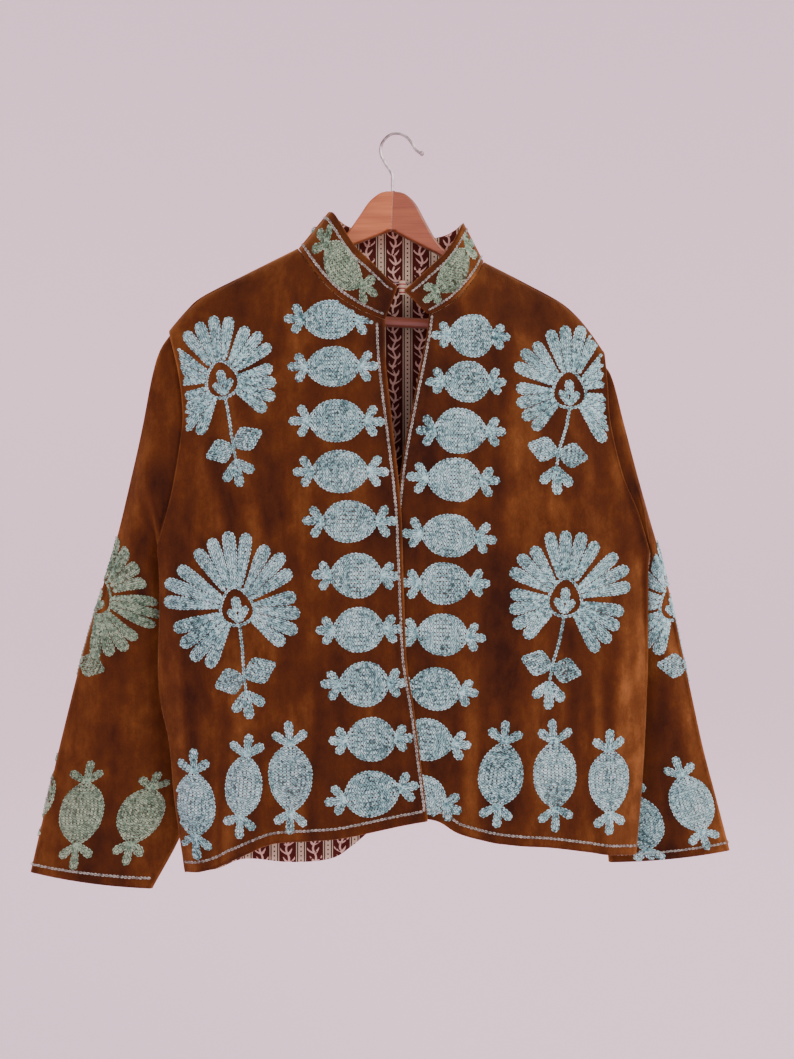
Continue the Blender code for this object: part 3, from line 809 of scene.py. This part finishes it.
NECK_TAPE = ((-1.0, -157.0), (5.5, -171.0))     # two corners, as (x, z)


def make_neck_tape():
    """Short tape that joins the collar's two ends, just behind them."""
    (left, top), (right, bottom) = NECK_TAPE
    behind = max(front_y(left, top), front_y(right, bottom)) + CLOTH + 2.0
    grid = [[(left + (right - left) * u, behind - 1.5 * math.sin(math.pi * u), top + (bottom - top) * v)
             for u in span(7)] for v in span(9)]
    tape = open_cloth("neck_tape", grid, 0.8, (0, -1, 0), [tape_material(), VELVET])


make_cloth()
make_hanger()
make_neck_tape()


# ---- Embroidery ---------------------------------------------------------------------------------

ROW = 3.0              # from one row of chain to the next
FINE = 2.3             # width of the chain along the edges
STITCH = 3.9           # length of a chain stitch
THREAD_RISE = 1.15
EDGE_IN = 1.4          # the outlining chain's middle, in from a shape's edge
FILL_IN = 2.7
RNG = random.Random(7)

# One half of a chain stitch: a strand that leaves the row's middle and comes back to it.
# Each point is (along the stitch, across it, up), in shares of its length, width and rise.
STRAND = ((-0.04, 0.03, 0.25),
          (0.28, 0.07, 0.0), (0.28, 0.27, 1.0), (0.28, 0.47, 0.0),
          (0.74, 0.11, 0.0), (0.74, 0.30, 1.08), (0.74, 0.52, 0.0),
          (1.16, 0.02, 0.3))
STRAND_FACES = ((0, 1, 2), (0, 2, 3), (1, 4, 5, 2), (2, 5, 6, 3), (4, 7, 5), (5, 7, 6))


def unit(angle):
    return math.cos(angle), math.sin(angle)


def lemon(length, width, lean=0.0, points=44):
    """Rounded body of a sweet, pointed at its two ends; lean makes one end blunter."""
    shape = []
    for k in range(points):
        c, s = unit(2 * math.pi * k / points)
        half = (1 - abs(c) ** 2.5) ** 0.85 if abs(c) < 1 else 0.0
        half = max(half, 0.10)
        shape.append((length / 2 * c, math.copysign(width / 2 * half * (1 - lean * c), s)))
    return shape


def petal(length, width, base, points=9):
    """Long lobe with a round tip, from the origin along +x."""
    tip = width / 2
    side = [(length - tip + tip * math.sin(a), tip * math.cos(a))
            for a in [math.pi / 2 * k / points for k in range(points + 1)]]
    upper = [(0.0, base / 2)] + side
    return upper + [(x, -y) for x, y in upper[::-1]]


def leaf(length, width):
    """Leaf like a rounded diamond, from the origin along +x."""
    corners = ((0, 0.06), (0.22, 0.33), (0.44, 0.5), (0.56, 0.48), (0.80, 0.25), (1.04, 0.05))
    upper = [(x * length, y * width) for x, y in corners]
    return upper + [(x, -y) for x, y in upper[::-1]]


def placed(points, x=0.0, z=0.0, turn=0.0, size=1.0, mirror=False):
    """Points moved to a place, turned in degrees, first mirrored if asked."""
    c, s = unit(math.radians(turn))
    flip = -size if mirror else size
    return [(x + px * flip * c - pz * size * s, z + px * flip * s + pz * size * c) for px, pz in points]


def drawn_in(shape, by):
    """A closed outline moved inwards."""
    area = sum(a[0] * b[1] - b[0] * a[1] for a, b in zip(shape, shape[1:] + shape[:1]))
    inward = 1 if area > 0 else -1
    out = []
    for before, here, after in zip(shape[-1:] + shape[:-1], shape, shape[1:] + shape[:1]):
        dx, dz = after[0] - before[0], after[1] - before[1]
        size = math.hypot(dx, dz) or 1.0
        out.append((here[0] - inward * dz / size * by, here[1] + inward * dx / size * by))
    return out


def hatch(shape, turn, pitch=ROW):
    """Rows across a closed outline, as pairs of ends."""
    c, s = unit(math.radians(turn))
    flat = [(x * c + z * s, -x * s + z * c) for x, z in shape]
    low, high = min(p[1] for p in flat), max(p[1] for p in flat)
    count = max(1, round((high - low) / pitch))
    rows = []
    for k in range(count):
        level = low + (k + 0.5) * (high - low) / count
        hits = sorted(a[0] + (b[0] - a[0]) * (level - a[1]) / (b[1] - a[1])
                      for a, b in zip(flat, flat[1:] + flat[:1]) if (a[1] > level) != (b[1] > level))
        for start, end in zip(hits[::2], hits[1::2]):
            if end - start > 1.2:
                rows.append([(start * c - level * s, start * s + level * c),
                             (end * c - level * s, end * s + level * c)])
    return rows


class Work:
    """Chain rows drawn flat, in millimetres, before they go onto the cloth."""

    def __init__(self):
        self.rows = []

    def shape(self, outline, grain, **place):
        """A filled shape with an outlining row; grain is the direction of its rows in degrees."""
        at = placed(outline, **place)
        angle = grain if not place.get("mirror") else 180 - grain
        ring = drawn_in(at, EDGE_IN)
        self.rows.append((ring + ring[:1], ROW))
        fill = hatch(drawn_in(at, FILL_IN), angle + place.get("turn", 0.0))
        self.rows += [(row, ROW) for row in fill]

    def finger(self, length, width, base, step, inner, **place):
        """A lobe of a fan: it widens with its sector, then keeps its width to a round tip."""
        spread = math.tan(math.radians(step / 2))
        shoulder = clamp(width / 1.88 / spread - inner, 4.0, length - width / 2)
        tip = length - width / 2
        outline = petal(length, width, base, 6)
        outline[1:1] = [(shoulder, width / 2)]
        outline[-1:-1] = [(shoulder, -width / 2)]
        ring = placed(drawn_in(outline, EDGE_IN), **place)
        self.rows.append((ring + ring[:1], ROW))
        count = max(1, round((width - 2 * FILL_IN) / ROW + 0.3))
        for k in range(count):
            share = (2 * k + 1) / count - 1
            off = share * (width / 2 - FILL_IN + 0.5)
            narrow = share * max(base / 2 - FILL_IN + 1.2, 0.4)
            end = tip + math.sqrt(max((width / 2 - EDGE_IN) ** 2 - off ** 2, 0.0)) - 1.6
            start = 1.0 if abs(share) < 0.4 else 0.3 * shoulder
            first = (start, narrow + (off - narrow) * start / shoulder)
            row = [first, (shoulder, off), (end, off)] if end > shoulder + 2 else [first, (end, off)]
            self.rows.append((placed(row, **place), ROW))

    def line(self, points, width=ROW, **place):
        self.rows.append((placed(points, **place), width))


def turned(shape, turn, x=0.0, z=0.0):
    return placed(shape, x, z, turn)


SWEET_BODY = 0.63       # share of a sweet's length
SWEET_TAIL = 0.20
TAIL_LOBES = ((0, 1.0), (54, 0.88), (-54, 0.88))    # direction from the tail's, share of its length


def add_sweet(work, x, z, length, width, turn=0.0, lean=0.0):
    """A wrapped sweet: a filled oval with a tail of three lobes at each end."""
    place = dict(x=x, z=z, turn=turn + RNG.uniform(-1.5, 1.5))
    body = SWEET_BODY * length
    work.shape(lemon(body, width, lean), 90 + RNG.uniform(-4, 4), **place)
    tail = SWEET_TAIL * length
    for side in (0, 180):
        root = (body / 2 - 2.0) * (1 if side == 0 else -1)
        for spread, share in TAIL_LOBES:
            lobe = petal(tail * share * RNG.uniform(0.94, 1.06) + 2.0, 9.6, 5.0)
            turn_by = side + spread + RNG.uniform(-5, 5)
            work.shape(turned(lobe, turn_by, root), turn_by, **place)


# Petal fans round the heart: middle direction, step between lobes, lobes, inner radius, reach
FANS = ((94, 14.4, 4, 22, 79), (151, 14.5, 3, 18, 79), (39, 15.0, 3, 18.5, 72),
        (211, 15.0, 4, 17.5, 73), (-22, 16.0, 4, 17.5, 66))
HEART = 17.0
FINGER_WIDTH = 13.4
# Parts round the heart and the stem: direction, length, and the width of most of them
BUD = ((90, 26, 10.5), (54, 18, 8.0), (126, 17, 8.0))
BUD_ROOT = -13.5
LEAVES = ((14, 34, 28), (190, 32, 28))
FOOT = ((228, 24), (268, 27), (318, 22))
FOOT_WIDTH = 11.0


def heart_ring(points=30):
    """Teardrop round the flower's heart."""
    return [(HEART * c * (1 - 0.30 * s), (HEART + 2.5) * s + 2.5)
            for c, s in (unit(2 * math.pi * k / points - math.pi / 2) for k in range(points + 1))]


def add_flower(work, x, z, size=1.0, turn=0.0, stem=(0.0, 66.0), mirror=False, foot=True, swing=0.0):
    """Flower of petal fans round a heart with a bud, over a stem with two leaves and a foot."""
    place = dict(x=x, z=z, turn=turn, mirror=mirror)
    for middle, step, count, inner, reach in FANS:
        for k in range(count):
            offset = k - (count - 1) / 2
            angle = math.radians(middle + swing + offset * step)
            c, s = unit(angle)
            long = (reach - abs(offset) * 2.4) * size * RNG.uniform(0.97, 1.03) - inner
            base = 1.8 * inner * math.tan(math.radians(step / 2))
            local = Work()
            local.finger(long, FINGER_WIDTH * size ** 0.7, base, step, inner,
                         turn=math.degrees(angle), x=inner * c, z=inner * s)
            work.rows += [(placed(row, **place), width) for row, width in local.rows]
    work.line(heart_ring(), **place)
    for angle, long, wide in BUD:
        work.shape(turned(petal(long, wide, 5.5), angle, 0, BUD_ROOT), angle, **place)
    joint, drop = stem
    stalk = [(0, -HEART), (0.3 * joint, -0.6 * drop), (joint, -drop), (1.2 * joint, -drop - 18)]
    work.line(stalk, **place)
    for angle, long, wide in LEAVES:
        shape = leaf(long * size ** 0.5, wide * size ** 0.5)
        work.shape(turned(shape, angle, joint, -drop - 1), angle, **place)
    if foot:
        for angle, long in FOOT:
            lobe = turned(petal(long, FOOT_WIDTH, 6.5), angle, 1.2 * joint, -drop - 17)
            work.shape(lobe, angle, **place)


def inside(outline, x, z):
    """Whether a point is inside a closed outline."""
    hit = False
    for (ax, az), (bx, bz) in zip(outline, outline[1:] + outline[:1]):
        if (az > z) != (bz > z) and x < ax + (bx - ax) * (z - az) / (bz - az):
            hit = not hit
    return hit


def stitches_of(rows, keep):
    """Stitches as (x, z, direction, length, width) along each row."""
    out = []
    for row, width in rows:
        lengths = [math.dist(a, b) for a, b in zip(row, row[1:])]
        total = sum(lengths)
        count = max(1, round(total / STITCH))
        step = total / count
        k, walked = 0, 0.0
        points = []
        for n in range(count + 1):
            target = n * step
            while k < len(lengths) - 1 and walked + lengths[k] < target:
                walked += lengths[k]
                k += 1
            f = (target - walked) / lengths[k] if lengths[k] else 0.0
            a, b = row[k], row[k + 1]
            points.append((a[0] + (b[0] - a[0]) * f, a[1] + (b[1] - a[1]) * f))
        if RNG.random() < 0.5:
            points.reverse()
        for a, b in zip(points, points[1:]):
            middle = ((a[0] + b[0]) / 2, (a[1] + b[1]) / 2)
            if keep(*middle):
                direction = math.atan2(b[1] - a[1], b[0] - a[0]) + RNG.uniform(-0.09, 0.09)
                out.append((*a, direction, math.dist(a, b), width * RNG.uniform(1.0, 1.16)))
    return out


def sew(name, rows, surface, keep, material):
    """One mesh of chain stitches that lie on a surface given as a function of flat places."""
    half = [np.array([(x, side * y, z) for x, y, z in STRAND]) for side in (1, -1)]
    template = np.concatenate(half)
    count = len(template)
    frames = []
    for x, z, direction, length, width in stitches_of(rows, keep):
        here = np.array(surface(x, z))
        along_x = np.array(surface(x + 1.0, z)) - here
        along_z = np.array(surface(x, z + 1.0)) - here
        up = np.cross(along_x, along_z)
        up /= np.linalg.norm(up)
        if up @ surface.outward(x, z) < 0:
            up = -up
        c, s = unit(direction)
        rise = THREAD_RISE * RNG.uniform(0.85, 1.15)
        frames.append((here + up * CLOTH / 2, (along_x * c + along_z * s) * length,
                       (along_z * c - along_x * s) * width, up * rise))
    origin, forward, side, up = (np.array(part) for part in zip(*frames))
    points = (origin[:, None] + forward[:, None] * template[None, :, 0, None]
              + side[:, None] * template[None, :, 1, None] + up[:, None] * template[None, :, 2, None])
    verts = points.reshape(-1, 3)
    pattern = list(STRAND_FACES) + [tuple(len(STRAND) + i for i in f[::-1]) for f in STRAND_FACES]
    faces = [tuple(base + i for i in f) for base in range(0, len(verts), count) for f in pattern]
    mesh = bpy.data.meshes.new(name)
    mesh.from_pydata((verts * MM).tolist(), [], faces)
    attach(add_object(name, mesh, [material]), "root")


def distances(point, count):
    """Table from the distance along a line to the share that gives its point."""
    steps = span(count)
    table = [(0.0, 0.0)]
    for at, a, b in zip(steps[1:], map(point, steps), map(point, steps[1:])):
        table.append((table[-1][0] + math.dist(a, b), at))
    return table


class Face:
    """A body panel seen flat: x and z to the middle of its cloth."""

    def __init__(self, depth, side):
        self.depth, self.side = depth, side

    def __call__(self, x, z):
        return x, self.depth(x, z), z

    def outward(self, x, z):
        return np.array((0.0, self.side, 0.0))


class Wrap:
    """A sleeve seen flat: distance from its outer fold, the front side positive, and length."""

    def __init__(self, table):
        self.table = table
        self.length = distances(lambda t: sleeve_point(table, t, 0.0), 61)

    def __call__(self, s, l):
        t = straight(self.length, clamp(l, 0.0, self.length[-1][0]))[0]
        outer_x, outer_z, inner_x, inner_z = smooth_row(self.table, t)[:4]
        half = math.hypot(inner_x - outer_x, inner_z - outer_z) / 2
        bend = SLEEVE_FOLD_RADIUS * math.pi / 2
        far = abs(s)
        if far < bend:
            end = math.cos(far / SLEEVE_FOLD_RADIUS)
            c = (1 + end * (RING_END_REACH - 1)) / RING_END_REACH
        else:
            c = max(1 - (far - bend) / (half - SLEEVE_FOLD_RADIUS), -1.0) / RING_END_REACH
        angle = math.acos(clamp(c, -1, 1))
        return sleeve_point(self.table, t, -angle if s > 0 else angle)

    def outward(self, s, l):
        t = straight(self.length, clamp(l, 0.0, self.length[-1][0]))[0]
        outer_x, outer_z, inner_x, inner_z, outer_y, inner_y = smooth_row(self.table, t)[:6]
        middle = np.array(((outer_x + inner_x) / 2, (outer_y + inner_y) / 2, (outer_z + inner_z) / 2))
        return np.array(self(s, l)) - middle


class Band:
    """The collar seen flat: distance round the neck and height above its seam."""

    def __init__(self):
        self.length = distances(lambda w: collar_point(w, 0.5), 81)

    def __call__(self, s, h):
        return collar_point(straight(self.length, s)[0], clamp(h / COLLAR_HEIGHT))

    def outward(self, s, h):
        return np.array(self(s, h)) - np.array((-8.0, 0.0, -125.0))


# Sweets on the fronts, as x, z, length, width, turn in degrees
SWEETS_RIGHT = (
    (-71, -197, 92, 40, 0), (-68, -245, 91, 41, 0), (-63, -300, 96, 43, 0), (-60, -351, 95, 43, 0),
    (-50, -401, 93, 42, 1), (-44, -455, 88, 45, 0), (-41, -509, 86, 45, 1), (-36, -563, 84, 45, 3),
    (-29, -618, 84, 44, 4), (-28, -672, 94, 46, 11),
    (-210, -690, 110, 44, 92), (-158, -668, 105, 38, 84), (-110, -659, 112, 45, 91))
SWEETS_LEFT = (
    (72, -213, 78, 44, -1), (67, -260, 80, 42, 1), (61, -310, 90, 46, 0), (54, -359, 92, 44, -3),
    (49, -415, 94, 43, -4), (45, -463, 88, 42, 0), (42, -514, 86, 42, -5), (35, -568, 86, 43, -6),
    (28, -619, 86, 42, -8), (22, -675, 84, 42, -20),
    (101, -654, 106, 45, 84), (156, -657, 111, 45, 90), (213, -666, 106, 43, 90))
# Sweets on the sleeves, as distance from the outer fold and from the shoulder, length, turn
SWEETS_SLEEVE_RIGHT = ((43, 520, 112, -3), (105, 520, 100, 8), (-14, 505, 108, 0), (-74, 515, 108, 0))
SWEETS_SLEEVE_LEFT = ((30, 480, 104, 4), (88, 494, 100, 0), (-30, 480, 104, 0), (-88, 480, 104, 0))
SLEEVE_SWEET_WIDTH = 47
# Sweets round the collar, as share of its length, length, width, turn
SWEETS_COLLAR = ((0.155, 96, 34, 2), (0.40, 80, 33, 0), (0.62, 80, 33, 0), (0.875, 90, 33, -3))
COLLAR_HEIGHT = 46.0
# Flowers, as x, z, size, turn, the leaves' place below the heart
FLOWERS_RIGHT = ((-181, -258, 0.87, 12, (-2, 66)), (-165, -489, 1.0, 10, (-4, 68)))
FLOWERS_LEFT = ((173, -268, 0.90, 0, (12, 62)), (167, -480, 0.92, -4, (9, 68)))
# Flowers on the back, as x, z, size, turn
FLOWERS_BACK = ((-160, -280, 0.92, 6), (0, -262, 0.92, 2), (160, -290, 0.92, -6),
                (-160, -500, 1.0, 5), (6, -490, 1.0, 0), (170, -505, 1.0, -5))


def outline_of(name, room=2.0, points=60):
    """Flat outline of a body panel, drawn in a little."""
    sides = PANELS[name]
    steps = span(points)
    ring = [sides["top"](f) for f in steps] + [sides["right"](f) for f in steps[1:]]
    ring += [sides["bottom"](f) for f in steps[-2::-1]] + [sides["left"](f) for f in steps[-2:0:-1]]
    return drawn_in(ring, room)


def beside(line, by, start=0.0, end=1.0, points=60):
    """A line that runs along an outline at a distance from it."""
    places = [start + (end - start) * f for f in span(points)]
    path = [line(f) for f in places]
    out = []
    for k, here in enumerate(path):
        before, after = path[max(k - 1, 0)], path[min(k + 1, points - 1)]
        dx, dz = after[0] - before[0], after[1] - before[1]
        size = math.hypot(dx, dz) or 1.0
        room = by(places[k]) if callable(by) else by
        out.append((here[0] - dz / size * room, here[1] + dx / size * room))
    return out


def embroider_fronts():
    tables = (("front_right", SWEETS_RIGHT, FLOWERS_RIGHT, False),
              ("front_left", SWEETS_LEFT, FLOWERS_LEFT, True))
    for name, sweets, flowers, mirror in tables:
        work = Work()
        for x, z, length, width, turn in sweets:
            add_sweet(work, x, z, length, width, turn, RNG.uniform(-0.12, 0.12))
        for x, z, size, turn, stem in flowers:
            add_flower(work, x, z, size, turn, stem, mirror)
        sides = PANELS[name]
        edging = Work()
        if mirror:
            edging.line(beside(sides["left"], 2.4, 0.0, 0.98), FINE)
            edging.line(beside(sides["bottom"], 9.0, 0.02, 0.985), FINE)
        else:
            edging.line(beside(sides["left"], lambda f: -7.5 + 6.0 * f ** 0.7, 0.01, 0.97), FINE)
            edging.line(beside(sides["bottom"], -10.0, 0.02, 0.985), FINE)
        surface = Face(sides["depth"], -1.0)
        outline = outline_of(name, 4.5)
        sew("stitching_" + name, work.rows, surface, lambda x, z: inside(outline, x, z), BLUE)
        hem = outline_of(name, 1.0)
        sew("edging_" + name, edging.rows, surface, lambda x, z: inside(hem, x, z), EDGING)


def embroider_back():
    """The same flowers and sweets, laid out evenly."""
    work = Work()
    for x, z, size, turn in FLOWERS_BACK:
        add_flower(work, x, z, size, turn, (3, 66), x > 0)
    for k in range(8):
        add_sweet(work, -196 + 58 * k, -679 + (5 - abs(k - 3.5)) * 2, 106, 43, 90)
    edging = Work()
    edging.line(beside(PANELS["back"]["bottom"], 9.0, 0.015, 0.985), FINE)
    outline = outline_of("back", 4.5)
    sew("stitching_back", work.rows, Face(back_y, 1.0), lambda x, z: inside(outline, x, z), BLUE)
    sew("edging_back", edging.rows, Face(back_y, 1.0), lambda x, z: inside(outline, x, z), EDGING)


def embroider_sleeve(name, table, hub, sweets, material, mirror, swing):
    surface = Wrap(table)
    total = surface.length[-1][0]
    work = Work()
    add_flower(work, 0, hub, 0.92, 180, (0, 66), mirror, foot=False, swing=swing)
    for s, l, length, turn in sweets:
        add_sweet(work, s, l, length, SLEEVE_SWEET_WIDTH, 90 + turn)
    limit = [math.dist(smooth_row(table, t)[0:2], smooth_row(table, t)[2:4]) for t in span(21)]

    def keep(s, l):
        return 14 < l < total - 2 and abs(s) < limit[int(clamp(l / total) * 20)] - 1

    edging = Work()
    edging.line([(s, total - 9) for s in range(-128, 129, 4)], FINE)
    sew("stitching_" + name, work.rows, surface, keep, material)
    sew("edging_" + name, edging.rows, surface, keep, EDGING)


def embroider_collar():
    surface = Band()
    total = surface.length[-1][0]
    work, edging = Work(), Work()
    for share, length, width, turn in SWEETS_COLLAR:
        add_sweet(work, share * total, 22.5, length, width, turn)
    for height in (5.0, 38.5):
        edging.line([(s, height) for s in np.linspace(3, total - 3, 80)], FINE)

    def keep(s, h):
        return 2 < s < total - 2 and 4 < h < 41

    sew("stitching_collar", work.rows, surface, keep, GREEN)
    sew("edging_collar", edging.rows, surface, lambda s, h: 2 < s < total - 2, EDGING)


embroider_fronts()
embroider_back()
embroider_sleeve("sleeve_right", SLEEVE_LEFT, 290, SWEETS_SLEEVE_RIGHT, GREEN, False, 20)
embroider_sleeve("sleeve_left", SLEEVE_RIGHT, 268, SWEETS_SLEEVE_LEFT, BLUE, True, -12)
embroider_collar()


# ---- Camera, light and stage ------------------------------------------------------------------

LENS = 40.9
CAMERA_AT = (-0.0031, -1.25, -0.409)
LIGHTS_AIM = (0, 0, -0.42)
FLOOR = -1.32
STAGE_REACH = 3.2
STAGE_BEND = 1.6
STAGE_COLOUR = rgb(236, 214, 224)


def make_camera():
    data = bpy.data.cameras.new("camera")
    data.sensor_width = 36
    data.lens = LENS
    camera = bpy.data.objects.new("camera", data)
    camera.location = CAMERA_AT
    camera.rotation_euler = (math.pi / 2, 0, 0)
    bpy.context.scene.collection.objects.link(camera)
    bpy.context.scene.camera = camera


def area_light(name, place, size, power, colour=(1, 1, 1)):
    data = bpy.data.lights.new(name, "AREA")
    data.shape = "DISK"
    data.size = size
    data.energy = power
    data.color = colour
    light = bpy.data.objects.new(name, data)
    light.location = place
    aim = Vector(LIGHTS_AIM) - light.location
    light.rotation_euler = aim.to_track_quat("-Z", "Y").to_euler()
    bpy.context.scene.collection.objects.link(light)


def make_stage():
    """Pale floor that sweeps up into a far backdrop all round."""
    rise = [(STAGE_REACH + STAGE_BEND * math.sin(a), FLOOR + STAGE_BEND * (1 - math.cos(a)))
            for a in [math.pi / 2 * k / 12 for k in range(13)]]
    profile = [(0.0, FLOOR), (1.2, FLOOR), (2.4, FLOOR)] + rise + [(STAGE_REACH + STAGE_BEND, 4.2)]
    turns = 64
    circle = [unit(2 * math.pi * k / turns) for k in range(turns)]
    verts = [(radius * c, radius * s, height) for radius, height in profile for c, s in circle]
    faces = [(j * turns + k, j * turns + (k + 1) % turns, (j + 1) * turns + (k + 1) % turns,
              (j + 1) * turns + k) for j in range(len(profile) - 1) for k in range(turns)]
    mesh = bpy.data.meshes.new("stage")
    mesh.from_pydata(verts, [], faces)
    n = Nodes("stage", roughness=0.95)
    n.colour(STAGE_COLOUR)
    n.shader.inputs["Emission Color"].default_value = STAGE_COLOUR
    n.shader.inputs["Emission Strength"].default_value = 0.56
    add_object("stage", mesh, [n.material])


def make_light():
    world = bpy.data.worlds.new("world")
    world.use_nodes = True
    background = world.node_tree.nodes["Background"]
    background.inputs["Color"].default_value = rgb(232, 222, 230)
    background.inputs["Strength"].default_value = 0.2
    bpy.context.scene.world = world
    area_light("key", (1.5, -2.0, 1.1), 1.3, 40, (1, 0.97, 0.95))
    area_light("fill", (-1.9, -1.9, 0.1), 2.0, 7, (0.97, 0.98, 1))
    area_light("back", (0.4, 2.6, 1.2), 2.0, 30, (1, 0.98, 0.97))
    area_light("top", (0.2, -0.5, 2.2), 1.8, 18)


make_camera()
make_stage()
make_light()
